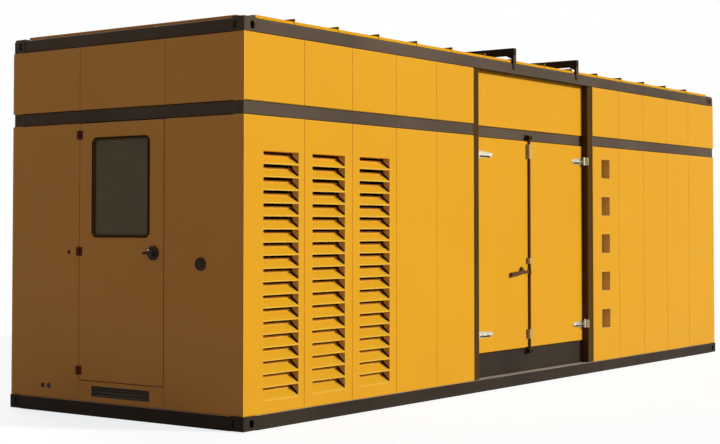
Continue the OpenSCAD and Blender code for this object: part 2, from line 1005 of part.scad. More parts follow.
module left_straps() {
    color(zinc)
        placed()
            for (z = strap_zs)
                translate([bay_x + strap_pin_in, strap_pin_set, z])
                    strap(left_strap_len);
}

module right_straps() {
    color(zinc)
        placed()
            for (z = strap_zs)
                translate([bay_x1 - strap_pin_in, strap_pin_set, z])
                    mirror([1, 0, 0])
                        strap(right_strap_len);
}

// A hinge bracket on the jamb at x = -strap_pin_in, with two lugs and the pin
module strap_bracket() {
    plate_t = 6;
    color(zinc)
        union() {
            block([-strap_pin_in, -18, -strap_h / 2 - 4],
                  [-strap_pin_in + plate_t, 18, strap_h / 2 + 4]);
            for (s = [-1, 1])
                translate([0, 0, s * (strap_h / 2 - lug_h / 2)]) {
                    translate([0, 0, -lug_h / 2])
                        cylinder(h = lug_h, r = strap_knuckle_r);
                    block([-strap_pin_in, -7, -lug_h / 2], [0, 7, lug_h / 2]);
                }
            translate([0, 0, -strap_h / 2])
                cylinder(h = strap_h + 4, r = strap_pin_r);
            translate([0, 0, strap_h / 2 + 2])
                cylinder(h = 8, r1 = strap_pin_r + 4, r2 = strap_pin_r + 1);
        }
}

module strap_brackets() {
    placed()
        for (z = strap_zs) {
            translate([bay_x + strap_pin_in, strap_pin_set, z])
                strap_bracket();
            translate([bay_x1 - strap_pin_in, strap_pin_set, z])
                mirror([1, 0, 0])
                    strap_bracket();
        }
}

// A keeper on the header and one on the sill: a plate with two cheeks beside the rod's cams
module lock_keepers() {
    reach = rod_r + 5;
    cheek = 6;
    plate_w = 76;
    front = rod_set - rod_r - 8;
    color(black)
        placed()
            for (z = [rod_z0 - 8, mid_z0 + 4]) {
                block([rod_x - plate_w / 2, bay_set - cheek, z],
                      [rod_x + plate_w / 2, bay_set, z + rod_reach + 4]);
                for (x = [rod_x - reach - cheek, rod_x + reach])
                    translate([x, 0, z])
                        rotate([90, 0, 90])
                            linear_extrude(cheek)
                                polygon([
                                    [bay_set - 1, 0], [bay_set - 1, rod_reach + 4],
                                    [front + 6, rod_reach - 6], [front, rod_reach - 14],
                                    [front, 12], [front + 6, 4]
                                ]);
            }
}

// Three saddles that hold the rod off the rebate's floor
module rod_guides() {
    guide_w = 44;
    color(zinc)
        placed()
            for (i = [0 : len(guide_zs) - 1])
                translate([rod_x, rod_set, guide_zs[i]])
                    difference() {
                        block([-guide_w / 2, -rod_r - 6, -guide_hs[i] / 2],
                              [guide_w / 2, leaf_set + rebate_d - rod_set, guide_hs[i] / 2]);
                        translate([0, 0, -guide_hs[i]])
                            cylinder(h = 2 * guide_hs[i], r = rod_r + 0.1);
                    }
}

// The rod with its two cams
module lock_rod() {
    color(black)
        placed()
            translate([rod_x, rod_set, 0]) {
                translate([0, 0, rod_z0])
                    cylinder(h = rod_z1 - rod_z0, r = rod_r);
                for (z = [rod_z0, rod_z1 - 28])
                    translate([0, 0, z])
                        cylinder(h = 28, r = rod_r + 3);
            }
}

// The handle that lies along the left leaf: a hub round the rod, an arm with a fin for the
// padlock, and a thicker grip that droops
module lock_handle() {
    hub_h = 52;
    arm_t = 12;
    grip_t = 20;
    droop = 24;
    top = grip_h / 2 - droop;
    foot = -grip_h / 2 - droop;
    color(rust_brown)
        placed()
            translate([rod_x, rod_set, handle_z])
                difference() {
                    union() {
                        translate([0, 0, -hub_h / 2])
                            cylinder(h = hub_h, r = rod_r + 6);
                        translate([0, arm_t / 2, 0])
                            rotate([90, 0, 0]) {
                                linear_extrude(arm_t)
                                    polygon([
                                        [0, 25], [-18, 23], [-48, 9], [-90, 9], [-134, 46],
                                        [-147, 44], [-158, 10], [-200, 6], [-200, foot + 16],
                                        [-80, -14], [-30, -16], [-18, -24], [0, -25]
                                    ]);
                                linear_extrude(grip_t)
                                    polygon([
                                        [-168, 9], [-handle_len + 18, top + 5],
                                        [-handle_len + 6, top - 2], [-handle_len, -droop],
                                        [-handle_len + 6, foot + 2], [-handle_len + 18, foot + 1],
                                        [-168, foot + 16]
                                    ]);
                            }
                    }
                    translate([0, 0, -hub_h])
                        cylinder(h = 2 * hub_h, r = rod_r + 0.05);
                }
}

base_rails();
bottom_castings();
floor_joists();
floor_deck();
door_posts();
mid_side_rails();
mid_end_rails();
door_header();
top_rails();
top_castings();
front_lower_walls();
front_step_wall();
front_upper_walls();
over_door_panel();
door_sill();
louvre_banks();
foot_pockets();
back_lower_walls();
back_upper_walls();
entry_walls();
entry_sill();
sill_vent();
entry_upper_wall();
door_stops();
far_end_walls();
roof_deck();
roof_ribs();
bridge_beams();
bridge_legs();
wall_caps();
entry_hinge_plates();
strap_brackets();
lock_keepers();
entry_door();
entry_window();
entry_window_seal();
entry_door_hinges();
entry_handle();
left_door();
left_straps();
rod_guides();
right_door();
right_straps();
lock_rod();
lock_handle();
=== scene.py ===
"""Looks of the walk-in generator enclosure: painted steel frame and wall cassettes, louvre
banks, a double door on strap hinges with its lock rod, an end door with a window, a roof with
standing seams and a lined room inside. Metres; x along the length, y across, z up."""
import json
import math

import bmesh
import bpy
from mathutils import Matrix, Vector


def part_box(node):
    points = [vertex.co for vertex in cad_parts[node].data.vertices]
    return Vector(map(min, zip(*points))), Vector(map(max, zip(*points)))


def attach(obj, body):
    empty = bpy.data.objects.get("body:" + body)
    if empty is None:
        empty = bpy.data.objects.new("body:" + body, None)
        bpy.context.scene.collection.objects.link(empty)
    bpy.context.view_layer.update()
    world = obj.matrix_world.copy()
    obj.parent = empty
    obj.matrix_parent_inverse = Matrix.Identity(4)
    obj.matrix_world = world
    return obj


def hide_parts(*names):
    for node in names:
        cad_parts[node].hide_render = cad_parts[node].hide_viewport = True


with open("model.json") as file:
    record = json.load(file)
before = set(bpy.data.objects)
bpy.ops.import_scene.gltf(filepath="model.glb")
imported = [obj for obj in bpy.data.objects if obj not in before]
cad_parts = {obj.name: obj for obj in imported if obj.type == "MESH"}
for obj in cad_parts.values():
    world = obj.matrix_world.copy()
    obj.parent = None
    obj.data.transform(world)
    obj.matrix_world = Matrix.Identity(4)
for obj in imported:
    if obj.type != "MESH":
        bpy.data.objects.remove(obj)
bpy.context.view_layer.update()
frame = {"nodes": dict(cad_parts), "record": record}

NODES = frame["nodes"]
BODY_OF = {n: b for b, members in frame["record"]["behaviour"]["bodies"].items() for n in members}
MERGE = 2e-5
CLOSE = 1e-6
FLUSH = math.radians(0.3)
SHARP = math.radians(32)
ROUNDED_FROM = math.radians(35)
UP = Vector((0, 0, 1))
FRONTWARD = (0, -1, 0)
ENTRYWARD = (-1, 0, 0)

# ------------------------------------------------------------------ mesh helpers


def merged(node, cuts=()):
    """A welded copy of a node's mesh, its flat faces whole again but for cuts through openings,
    each a (point, normal) plane, so that no face goes round a hole."""
    bm = bmesh.new()
    bm.from_mesh(NODES[node].data)
    bmesh.ops.remove_doubles(bm, verts=bm.verts, dist=MERGE)
    for point, normal in cuts:
        cut = bmesh.ops.bisect_plane(bm, geom=bm.verts[:] + bm.edges[:] + bm.faces[:],
                                     dist=MERGE, plane_co=point, plane_no=normal)
        for e in cut["geom_cut"]:
            if isinstance(e, bmesh.types.BMEdge):
                e.seam = True
    bmesh.ops.dissolve_limit(bm, angle_limit=FLUSH, use_dissolve_boundaries=False,
                             verts=bm.verts, edges=bm.edges, delimit={"SEAM"})
    return bm


def corners(points):
    """Low and high corner of the box round some points."""
    return (Vector([min(p[i] for p in points) for i in range(3)]),
            Vector([max(p[i] for p in points) for i in range(3)]))


def solids(node):
    """Low and high corner of each solid of a node, sorted by x, then y, then z."""
    bm = merged(node)
    seen, boxes = set(), []
    for start in bm.verts:
        if start in seen:
            continue
        seen.add(start)
        stack, points = [start], []
        while stack:
            v = stack.pop()
            points.append(v.co.copy())
            for e in v.link_edges:
                w = e.other_vert(v)
                if w not in seen:
                    seen.add(w)
                    stack.append(w)
        boxes.append(corners(points))
    bm.free()
    return sorted(boxes, key=lambda b: tuple(round(c, 3) for c in b[0]))


def faces_towards(node, direction, least):
    """Low and high corner of each face of a node that looks one way, over a least area."""
    bm = merged(node)
    boxes = [corners([v.co for v in f.verts]) for f in bm.faces
             if f.normal.dot(Vector(direction)) > 0.99 and f.calc_area() > least]
    bm.free()
    return boxes


def piece(name, bm, body, materials, stands_for=()):
    """Makes a shown piece of a bmesh, riding on a body."""
    for f in bm.faces:
        f.smooth = True
    for e in bm.edges:
        e.smooth = e.is_manifold and e.calc_face_angle(0) < SHARP
    mesh = bpy.data.meshes.new(name)
    bm.to_mesh(mesh)
    bm.free()
    for m in materials:
        mesh.materials.append(m)
    obj = bpy.data.objects.new(name, mesh)
    bpy.context.scene.collection.objects.link(obj)
    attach(obj, body)
    if stands_for:
        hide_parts(*stands_for)
    return obj


def soften(obj, width, segments=2, edge=-1):
    """Rounds a piece's sharp edges, with the material slot edge on them, or their faces' own."""
    mod = obj.modifiers.new("Edges", "BEVEL")
    mod.width = width
    mod.segments = segments
    mod.material = edge
    mod.limit_method = "ANGLE"
    mod.angle_limit = ROUNDED_FROM
    weigh = obj.modifiers.new("Normals", "WEIGHTED_NORMAL")
    weigh.mode = "FACE_AREA"
    weigh.weight = 100
    weigh.keep_sharp = True
    return obj


def finished(node, width, materials, segments=2, choose=None, edge=None, cuts=()):
    """The look of a CAD node: a welded copy with rounded edges, painted face by face. edge is
    the material of the rounded edges, mostly a paler paint: a painted highlight, on the black
    frame also wear."""
    bm = merged(node, cuts)
    if choose:
        for f in bm.faces:
            f.material_index = choose(f)
    if edge:
        materials = (*materials, edge)
    obj = piece(node + "_look", bm, BODY_OF[node], materials, (node,))
    return soften(obj, width, segments, edge=len(materials) - 1 if edge else -1)


def add(bm, part, matrix=None):
    """Adds one bmesh to another, placed by a matrix."""
    if matrix is not None:
        part.transform(matrix)
    mesh = bpy.data.meshes.new("part")
    part.to_mesh(mesh)
    part.free()
    bm.from_mesh(mesh)
    bpy.data.meshes.remove(mesh)


def aimed(centre, axis):
    """Places a part that was made along +Z."""
    return Matrix.Translation(centre) @ Vector(axis).to_track_quat("Z", "Y").to_matrix().to_4x4()


def box(low, high):
    """A block between two corners, for strips and plates."""
    bm = bmesh.new()
    low, high = Vector(low), Vector(high)
    bmesh.ops.create_cube(bm, size=1.0)
    bmesh.ops.scale(bm, vec=high - low, verts=bm.verts)
    bmesh.ops.translate(bm, vec=(low + high) / 2, verts=bm.verts)
    return bm


def turned(profile, steps):
    """A solid turned about +Z from (radius, height) points."""
    bm = bmesh.new()
    verts = [bm.verts.new((r, 0, h)) for r, h in profile]
    edges = [bm.edges.new(pair) for pair in zip(verts, verts[1:])]
    bmesh.ops.spin(bm, geom=verts + edges, cent=(0, 0, 0), axis=UP, angle=math.tau,
                   steps=steps, use_merge=True)
    bmesh.ops.remove_doubles(bm, verts=bm.verts, dist=CLOSE)
    bmesh.ops.recalc_face_normals(bm, faces=bm.faces)
    return bm


def hex_bolt(across, height):
    """A hexagon head standing on z = 0, its top edges chamfered."""
    bm = bmesh.new()
    radius = across / math.sqrt(3)
    bmesh.ops.create_cone(bm, cap_ends=True, segments=6, radius1=radius, radius2=radius,
                          depth=height, matrix=Matrix.Translation((0, 0, height / 2)))
    rim = [e for e in bm.edges if all(v.co.z > height * 0.9 for v in e.verts)]
    bmesh.ops.bevel(bm, geom=rim, offset=height * 0.15, offset_type="OFFSET", segments=2,
                    profile=0.5, affect="EDGES", material=-1)
    return bm


def dome_bolt(radius, height):
    """A round-headed bolt standing on z = 0."""
    return turned([(0, 0), (radius, 0), (radius, height * 0.25), (radius * 0.86, height * 0.65),
                   (radius * 0.5, height * 0.93), (0, height)], 18)


def tube(points, radius, closed=False):
    """A round bar along a line of points, or round a closed one."""
    curve = bpy.data.curves.new("bar", "CURVE")
    curve.dimensions = "3D"
    curve.bevel_depth = radius
    curve.bevel_resolution = 2
    curve.use_fill_caps = not closed
    spline = curve.splines.new("POLY")
    spline.points.add(len(points) - 1)
    for p, co in zip(spline.points, points):
        p.co = (*co, 1)
    spline.use_cyclic_u = closed
    holder = bpy.data.objects.new("bar", curve)
    bpy.context.scene.collection.objects.link(holder)
    bpy.context.view_layer.update()
    mesh = bpy.data.meshes.new_from_object(holder)
    bm = bmesh.new()
    bm.from_mesh(mesh)
    bpy.data.objects.remove(holder)
    bpy.data.curves.remove(curve)
    bpy.data.meshes.remove(mesh)
    bmesh.ops.remove_doubles(bm, verts=bm.verts, dist=CLOSE)
    bmesh.ops.recalc_face_normals(bm, faces=bm.faces)
    return bm


def upright_loop(x, low, high, radius):
    """Points round a rectangle with round corners, upright in the plane at x."""
    steps = 8
    centres = ((high.y - radius, high.z - radius), (low.y + radius, high.z - radius),
               (low.y + radius, low.z + radius), (high.y - radius, low.z + radius))
    points = []
    for quarter, (y, z) in enumerate(centres):
        for i in range(steps + 1):
            a = math.radians(90 * (quarter + i / steps))
            points.append((x, y + radius * math.cos(a), z + radius * math.sin(a)))
    return points


# ------------------------------------------------------------------ material helpers


def new_material(name, **values):
    """A Principled material; values go straight on the shader's sockets."""
    mat = bpy.data.materials.new(name)
    mat.use_nodes = True
    shader = mat.node_tree.nodes["Principled BSDF"]
    for key, value in values.items():
        shader.inputs[key.replace("_", " ")].default_value = value
    return mat, mat.node_tree, shader


def node(tree, kind, inputs=None, **settings):
    """A node with its settings, and its inputs linked or set."""
    made = tree.nodes.new(kind)
    for key, value in settings.items():
        setattr(made, key, value)
    for key, value in (inputs or {}).items():
        if isinstance(value, bpy.types.NodeSocket):
            tree.links.new(value, made.inputs[key])
        else:
            made.inputs[key].default_value = value
    return made


def place(tree, scale=(1, 1, 1), rotation=(0, 0, 0)):
    """Object coordinates, scaled and turned."""
    coords = node(tree, "ShaderNodeTexCoord").outputs["Object"]
    return node(tree, "ShaderNodeMapping", {"Vector": coords, "Scale": scale,
                                            "Rotation": rotation}).outputs["Vector"]


def noise(tree, scale, detail, roughness=0.5, vector=None):
    """Noise of about scale clouds a metre."""
    vector = vector or place(tree)
    return node(tree, "ShaderNodeTexNoise", {"Vector": vector, "Scale": scale, "Detail": detail,
                                             "Roughness": roughness}).outputs["Fac"]


def remap(tree, value, low, high, to_low=0.0, to_high=1.0):
    """A value between low and high, stretched between two others."""
    made = node(tree, "ShaderNodeMapRange", {"Value": value, "From Min": low, "From Max": high,
                                             "To Min": to_low, "To Max": to_high})
    return made.outputs["Result"]


def math_node(tree, operation, a, b):
    """Two values, or a socket and a value, put together."""
    return node(tree, "ShaderNodeMath", {0: a, 1: b}, operation=operation).outputs[0]


def mix(tree, factor, a, b):
    """Two colours mixed; the sockets of the node's colour form are its seventh and eighth."""
    made = tree.nodes.new("ShaderNodeMix")
    made.data_type = "RGBA"
    for index, value in ((0, factor), (6, a), (7, b)):
        if isinstance(value, bpy.types.NodeSocket):
            tree.links.new(value, made.inputs[index])
        else:
            made.inputs[index].default_value = value
    return made.outputs[2]


def bump(tree, height, distance, strength, normal=None):
    """A normal tilted by a height, on top of another."""
    inputs = {"Height": height, "Distance": distance, "Strength": strength}
    if normal is not None:
        inputs["Normal"] = normal
    return node(tree, "ShaderNodeBump", inputs).outputs["Normal"]


def height_above_ground(tree):
    """The height of a point over the ground, in metres."""
    split = node(tree, "ShaderNodeSeparateXYZ", {"Vector": place(tree)})
    return split.outputs["Z"]


# ------------------------------------------------------------------ materials


def rgb(r, g, b):
    """An opaque colour in linear light."""
    return (r, g, b, 1)


def shade(colour, factor):
    """A colour made darker or lighter."""
    return tuple(c * factor for c in colour[:3]) + (1,)


def only(tree, colour):
    """The red part of a colour, as a value."""
    return node(tree, "ShaderNodeSeparateColor", {"Color": colour}).outputs[0]


def painted(name, colour, dusty, roughness, specular, mottle, dust_amount, peel=0.0004):
    """Sprayed paint on sheet steel: clouding, orange peel, slight waves and settled dust."""
    mat, tree, shader = new_material(name, Specular_IOR_Level=specular)
    clouds = remap(tree, noise(tree, scale=0.9, detail=4.0), 0.3, 0.7)
    base = mix(tree, clouds, shade(colour, 1 - mottle), shade(colour, 1 + mottle))
    streaks = noise(tree, scale=1.0, detail=5.0, roughness=0.6, vector=place(tree, (9, 9, 0.7)))
    low = remap(tree, height_above_ground(tree), 0.75, 0.0)
    dust = math_node(tree, "MULTIPLY", math_node(tree, "MULTIPLY", low, streaks), dust_amount)
    specks = remap(tree, noise(tree, scale=26.0, detail=5.0, roughness=0.7), 0.62, 0.78,
                   to_high=dust_amount * 0.4)
    base = mix(tree, math_node(tree, "ADD", dust, specks), base, dusty)
    tree.links.new(base, shader.inputs["Base Color"])
    rough = remap(tree, noise(tree, scale=5.0, detail=4.0), 0.3, 0.7,
                  to_low=roughness - 0.06, to_high=roughness + 0.07)
    tree.links.new(rough, shader.inputs["Roughness"])
    waves = bump(tree, noise(tree, scale=2.2, detail=1.0), distance=0.004, strength=0.25)
    grain = bump(tree, noise(tree, scale=240.0, detail=2.0), distance=peel, strength=0.35,
                 normal=waves)
    tree.links.new(grain, shader.inputs["Normal"])
    return mat


def metal(name, colour, roughness, spangle):
    """Zinc with its crystal flakes."""
    mat, tree, shader = new_material(name, Metallic=1.0)
    flakes = node(tree, "ShaderNodeTexVoronoi", {"Vector": place(tree), "Scale": spangle},
                  feature="F1")
    tone = only(tree, flakes.outputs["Color"])
    base = mix(tree, tone, shade(colour, 0.82), colour)
    dull = remap(tree, noise(tree, scale=14.0, detail=5.0, roughness=0.65), 0.45, 0.75,
                 to_high=0.5)
    base = mix(tree, dull, base, rgb(colour[0] * 0.62, colour[1] * 0.6, colour[2] * 0.54))
    tree.links.new(base, shader.inputs["Base Color"])
    rough = remap(tree, tone, 0.0, 1.0, to_low=roughness - 0.08, to_high=roughness + 0.1)
    tree.links.new(rough, shader.inputs["Roughness"])
    grain = bump(tree, noise(tree, scale=320.0, detail=3.0), distance=0.0003, strength=0.4)
    tree.links.new(grain, shader.inputs["Normal"])
    return mat


def moulded(name, colour, roughness, specular, grain):
    """Rubber or plastic with a fine moulded grain."""
    mat, tree, shader = new_material(name, Specular_IOR_Level=specular)
    tone = remap(tree, noise(tree, scale=30.0, detail=4.0), 0.3, 0.7)
    base = mix(tree, tone, shade(colour, 0.8), shade(colour, 1.25))
    tree.links.new(base, shader.inputs["Base Color"])
    rough = remap(tree, tone, 0.0, 1.0, to_low=roughness - 0.08, to_high=roughness + 0.08)
    tree.links.new(rough, shader.inputs["Roughness"])
    pits = bump(tree, noise(tree, scale=grain, detail=2.0), distance=0.0002, strength=0.5)
    tree.links.new(pits, shader.inputs["Normal"])
    return mat


def perforated_lining():
    """Galvanised lining sheet with rows of round holes over dark wool."""
    mat, tree, shader = new_material("perforated_lining", Specular_IOR_Level=0.3)
    holes = node(tree, "ShaderNodeTexVoronoi", {"Vector": place(tree), "Scale": 110.0,
                                                "Randomness": 0.0}, feature="F1")
    edge = remap(tree, holes.outputs["Distance"], 0.22, 0.32)
    flakes = node(tree, "ShaderNodeTexVoronoi", {"Vector": place(tree), "Scale": 45.0})
    tone = only(tree, flakes.outputs["Color"])
    sheet = mix(tree, tone, rgb(0.42, 0.43, 0.43), rgb(0.56, 0.57, 0.57))
    base = mix(tree, edge, rgb(0.03, 0.03, 0.03), sheet)
    tree.links.new(base, shader.inputs["Base Color"])
    tree.links.new(math_node(tree, "MULTIPLY", edge, 0.55), shader.inputs["Metallic"])
    rough = remap(tree, edge, 0, 1, to_low=0.9, to_high=0.45)
    tree.links.new(rough, shader.inputs["Roughness"])
    dents = bump(tree, edge, distance=0.001, strength=0.6)
    tree.links.new(dents, shader.inputs["Normal"])
    return mat


def chequer_plate():
    """Painted floor plate with raised bars in two directions."""
    mat, tree, shader = new_material("chequer_plate", Specular_IOR_Level=0.4)
    bars = []
    for turn in (math.radians(45), math.radians(-45)):
        brick = node(tree, "ShaderNodeTexBrick",
                     {"Vector": place(tree, rotation=(0, 0, turn)), "Color1": rgb(1, 1, 1),
                      "Color2": rgb(1, 1, 1), "Mortar": rgb(0, 0, 0), "Scale": 1.0,
                      "Mortar Size": 0.0095, "Mortar Smooth": 0.3, "Brick Width": 0.046,
                      "Row Height": 0.0255}, offset=0.5)
        bars.append(brick.outputs["Color"])
    checker = node(tree, "ShaderNodeTexChecker", {"Vector": place(tree), "Scale": 28.0})
    raised = mix(tree, checker.outputs["Fac"], bars[0], bars[1])
    worn = remap(tree, noise(tree, scale=3.0, detail=5.0), 0.35, 0.75)
    base = mix(tree, worn, rgb(0.10, 0.10, 0.098), rgb(0.22, 0.215, 0.205))
    tree.links.new(mix(tree, math_node(tree, "MULTIPLY", raised, 0.4), base,
                       rgb(0.36, 0.36, 0.35)), shader.inputs["Base Color"])
    rough = remap(tree, worn, 0, 1, to_low=0.42, to_high=0.65)
    tree.links.new(rough, shader.inputs["Roughness"])
    pattern = bump(tree, raised, distance=0.0015, strength=0.8)
    tree.links.new(pattern, shader.inputs["Normal"])
    return mat


def tinted_glass():
    """Dark window glass with faint smears."""
    mat, tree, shader = new_material("tinted_glass", Specular_IOR_Level=0.06,
                                     Transmission_Weight=0.25)
    smear = remap(tree, noise(tree, scale=6.0, detail=5.0, roughness=0.65), 0.3, 0.75)
    tree.links.new(mix(tree, smear, rgb(0.150, 0.105, 0.028), rgb(0.195, 0.140, 0.040)),
                   shader.inputs["Base Color"])
    rough = remap(tree, smear, 0, 1, to_low=0.12, to_high=0.26)
    tree.links.new(rough, shader.inputs["Roughness"])
    waves = bump(tree, noise(tree, scale=3.0, detail=1.0), distance=0.001, strength=0.2)
    tree.links.new(waves, shader.inputs["Normal"])
    return mat


EARTH = rgb(0.36, 0.27, 0.15)
SOOT = rgb(0.20, 0.17, 0.14)
STEEL_PEEL = 0.0006
FLAKES = 130.0

YELLOW = painted("yellow_paint", rgb(0.815, 0.398, 0.013), EARTH, roughness=0.46, specular=0.08,
                 mottle=0.015, dust_amount=0.10)
# The entry end's yellow: the wall yellow made duller and bluer, with the end's shade painted into
# it.
SHADED_END_YELLOW = painted("yellow_end_painted_shade", rgb(0.80, 0.365, 0.082), EARTH, roughness=0.5,
                     specular=0.12, mottle=0.02, dust_amount=0.12)
ROOF_YELLOW = painted("roof_paint", rgb(0.80, 0.39, 0.012), EARTH, roughness=0.72, specular=0.04,
                      mottle=0.03, dust_amount=0.20)
# Dark brown for the sides of the roof seams and of the roof's notches at the castings: painted
# shade.
SHADED_SEAM_BROWN = painted("seam_painted_shade", rgb(0.20, 0.110, 0.022), SOOT, roughness=0.7, specular=0.04,
                     mottle=0.05, dust_amount=0.20)
# A lighter yellow for the louvre blades and their returns: painted light against the shade they
# cast on each other.
LIGHTENED_BLADE_YELLOW = painted("yellow_blade_painted_light", rgb(0.86, 0.47, 0.020), EARTH, roughness=0.5,
                       specular=0.12, mottle=0.015, dust_amount=0.10)
# A paler yellow for the step pockets and the louvre banks' side sheets: dust, and painted light
# against their deep shade.
LIGHTENED_RECESS_YELLOW = painted("dusty_recess_painted_light", rgb(0.74, 0.50, 0.18), EARTH, roughness=0.6,
                        specular=0.06, mottle=0.05, dust_amount=0.35)
# A paler, glossier yellow for rounded edges, blade lips and corner hems: a painted highlight.
HIGHLIGHT_YELLOW = painted("yellow_edge_painted_highlight", rgb(0.88, 0.50, 0.045), EARTH, roughness=0.45, specular=0.2,
                      mottle=0.03, dust_amount=0.15)
RAIL_BLACK = painted("frame_black", rgb(0.106, 0.079, 0.055), SOOT, roughness=0.55, specular=0.04,
                     mottle=0.22, dust_amount=0.35, peel=STEEL_PEEL)
# The frame black made browner and darker for the door posts, stops and louvre reveals: painted
# shade.
SHADED_POST_BLACK = painted("post_black_painted_shade", rgb(0.074, 0.037, 0.006), SOOT, roughness=0.55, specular=0.03,
                     mottle=0.15, dust_amount=0.12, peel=STEEL_PEEL)
# The frame black made much darker for the base, sill, keepers, bridges and corner plates: painted
# shade.
SHADED_BASE_BLACK = painted("base_black_painted_shade", rgb(0.031, 0.022, 0.014), SOOT, roughness=0.5, specular=0.04,
                     mottle=0.30, dust_amount=0.10, peel=STEEL_PEEL)
# A paler black for the frame's rounded edges: wear, and a painted highlight along them.
WORN_HIGHLIGHT_BLACK = painted("worn_black_edge_and_highlight", rgb(0.150, 0.118, 0.090), SOOT, roughness=0.5,
                     specular=0.12, mottle=0.2, dust_amount=0.3, peel=STEEL_PEEL)
# Pale paint on the base's top faces: settled dust, and a painted highlight where light falls on
# them.
LEDGE_DUST_AND_HIGHLIGHT = painted("dusty_ledge_and_highlight", rgb(0.50, 0.44, 0.39), EARTH, roughness=0.7, specular=0.1,
                     mottle=0.2, dust_amount=0.5, peel=STEEL_PEEL)
VENT_BLACK = painted("vent_black", rgb(0.150, 0.128, 0.092), SOOT, roughness=0.5, specular=0.06,
                     mottle=0.10, dust_amount=0.10)
HINGE_BROWN = painted("brown_steel", rgb(0.14, 0.032, 0.016), SOOT, roughness=0.5, specular=0.08,
                      mottle=0.08, dust_amount=0.2)
ROD_BROWN = painted("rod_brown", rgb(0.12, 0.040, 0.010), SOOT, roughness=0.45, specular=0.08,
                    mottle=0.12, dust_amount=0.2)
HANDLE_BROWN = painted("handle_brown", rgb(0.11, 0.050, 0.012), SOOT, roughness=0.5, specular=0.06,
                       mottle=0.15, dust_amount=0.15)
ZINC = metal("zinc", rgb(0.56, 0.52, 0.39), roughness=0.40, spangle=FLAKES)
DULL_ZINC = metal("dull_zinc", rgb(0.40, 0.30, 0.15), roughness=0.5, spangle=FLAKES)
BRIGHT_ZINC = metal("bright_zinc", rgb(0.80, 0.76, 0.62), roughness=0.30, spangle=FLAKES)
PLASTIC = moulded("black_plastic", rgb(0.052, 0.031, 0.022), roughness=0.5,
                  specular=0.10, grain=500.0)
RUBBER = moulded("seal_rubber", rgb(0.022, 0.012, 0.005), roughness=0.8,
                 specular=0.05, grain=700.0)
SEAL_LIP = moulded("seal_lip", rgb(0.110, 0.074, 0.024), roughness=0.7,
                   specular=0.05, grain=700.0)
GLASS = tinted_glass()
LINING = perforated_lining()
PLATE = chequer_plate()

# ------------------------------------------------------------------ walls and roof

INNER_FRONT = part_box("front_lower_walls")[1].y
INNER_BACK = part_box("back_lower_walls")[0].y
INNER_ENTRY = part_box("entry_walls")[1].x
INNER_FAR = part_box("far_end_walls")[0].x
ROOF_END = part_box("roof_deck")[1].x - 0.03
LEAVES_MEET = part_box("right_door")[0].x
BANKS = solids("louvre_banks")
FLAT = 0.9
TINY = 1e-3


def towards_room(f):
    """1 for a wall's inner face, which takes the lining, and 0 for the painted rest."""
    c, n = f.calc_center_median(), f.normal
    inner = ((n.y > FLAT and abs(c.y - INNER_FRONT) < TINY)
             or (n.y < -FLAT and abs(c.y - INNER_BACK) < TINY)
             or (n.x > FLAT and abs(c.x - INNER_ENTRY) < TINY)
             or (n.x < -FLAT and abs(c.x - INNER_FAR) < TINY))
    return 1 if inner else 0


def long_wall_face(f):
    """As towards_room, with 2 for the end of a long wall that shows in the entry end, in the
    end's painted shade, and 3 for the reveals beside the louvre banks, painted dark as shade."""
    x = f.calc_center_median().x
    if abs(f.normal.x) > FLAT:
        if x < INNER_ENTRY:
            return 2
        if any(min(abs(x - low.x), abs(x - high.x)) < 4 * TINY for low, high in BANKS):
            return 3
    return towards_room(f)


def roof_face(f):
    """Slot of a face of the roof: 1 below, 2 the side of a seam or the side of the roof's end
    beside a casting, in painted shade, 3 the end over the entry, in the end's painted shade, 0 the
    rest."""
    x = f.calc_center_median().x
    at_end = abs(x) > ROOF_END
    if abs(f.normal.x) > FLAT:
        return (3 if x < 0 else 0) if at_end else 2
    if abs(f.normal.y) > FLAT and at_end:
        return 2
    return 1 if f.normal.z < -FLAT else 0


def bank_face(f):
    """Slot of a louvre bank's face: 1 the side sheets, painted light; 2 the blades' lips, a
    painted highlight; 0 the blades, painted light.
    """
    return 1 if abs(f.normal.x) > FLAT else 2 if abs(f.normal.y) > FLAT else 0


def leaf_face(f):
    """Slot of a leaf's face: 1 the lining behind, 2 the sealed edges where the leaves meet, whose
    dark rubber is also the gap's shade, painted on.
    """
    if f.normal.y > FLAT:
        return 1
    meets = abs(f.calc_center_median().x - LEAVES_MEET) < 8 * TINY
    return 2 if abs(f.normal.x) > FLAT and meets else 0


def middles(node, axis):
    """Cuts through the middle of each of a node's solids, across x (0) or y (1)."""
    normal = Vector([1 if i == axis else 0 for i in range(3)])
    return [((low + high) / 2, normal) for low, high in solids(node)]


OPENING_CUTS = {"front_lower_walls": middles("louvre_banks", 0),
                "back_lower_walls": middles("louvre_banks", 0),
                "front_step_wall": middles("foot_pockets", 0)[:1],
                "entry_sill": middles("sill_vent", 1)}
WALL_EDGE = 0.0012
for wall in ("front_lower_walls", "front_step_wall", "front_upper_walls", "back_lower_walls",
             "back_upper_walls"):
    finished(wall, WALL_EDGE, (YELLOW, LINING, SHADED_END_YELLOW, SHADED_POST_BLACK), choose=long_wall_face,
             edge=HIGHLIGHT_YELLOW, cuts=OPENING_CUTS.get(wall, ()))
